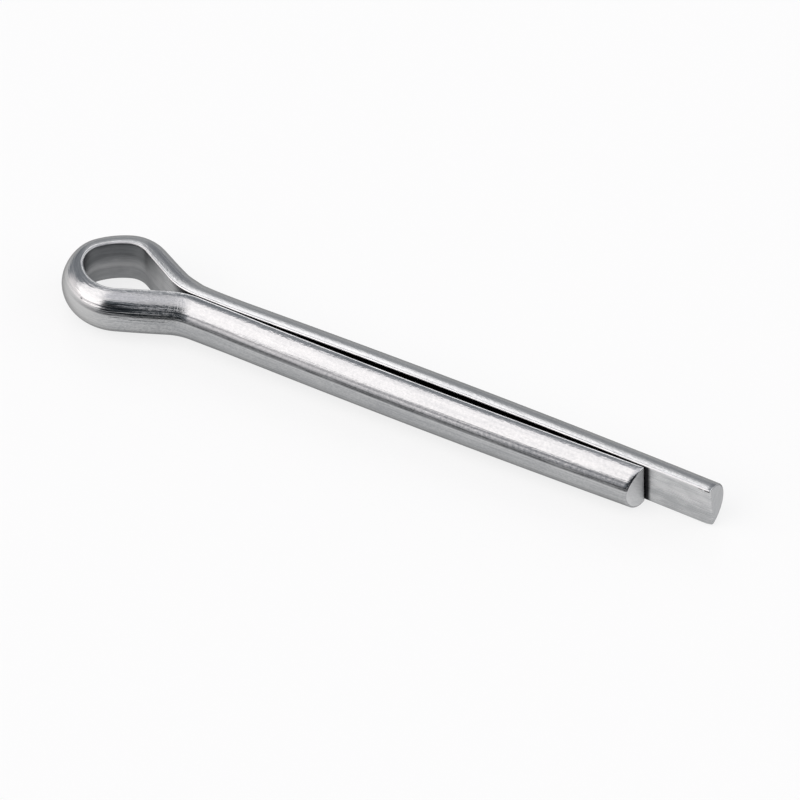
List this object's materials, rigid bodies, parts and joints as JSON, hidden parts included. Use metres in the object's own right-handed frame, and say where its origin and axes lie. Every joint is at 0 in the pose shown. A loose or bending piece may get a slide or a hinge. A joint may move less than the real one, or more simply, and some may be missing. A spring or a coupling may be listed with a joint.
{
  "type": "split cotter pin",
  "caption": "Split cotter pin of half-round steel wire folded into a teardrop eye and a shank of two legs, to lock a pin, bolt or nut.",
  "frame": {"origin": "on the shank's axis at the neck, where the eye ends and the two legs begin", "axes": "+X along the shank towards the legs' ends, +Y towards the long leg's side, +Z through the eye, up as the pin lies on its side"},
  "size_m": [0.0591, 0.0095, 0.0044],
  "materials": {
    "drawn_steel": "bright drawn stainless wire with fine die lines along its length; sheared ends a little duller"
  },
  "bodies": {
    "root": {"cotter_pin": "drawn_steel"}
  },
  "joints": []
}
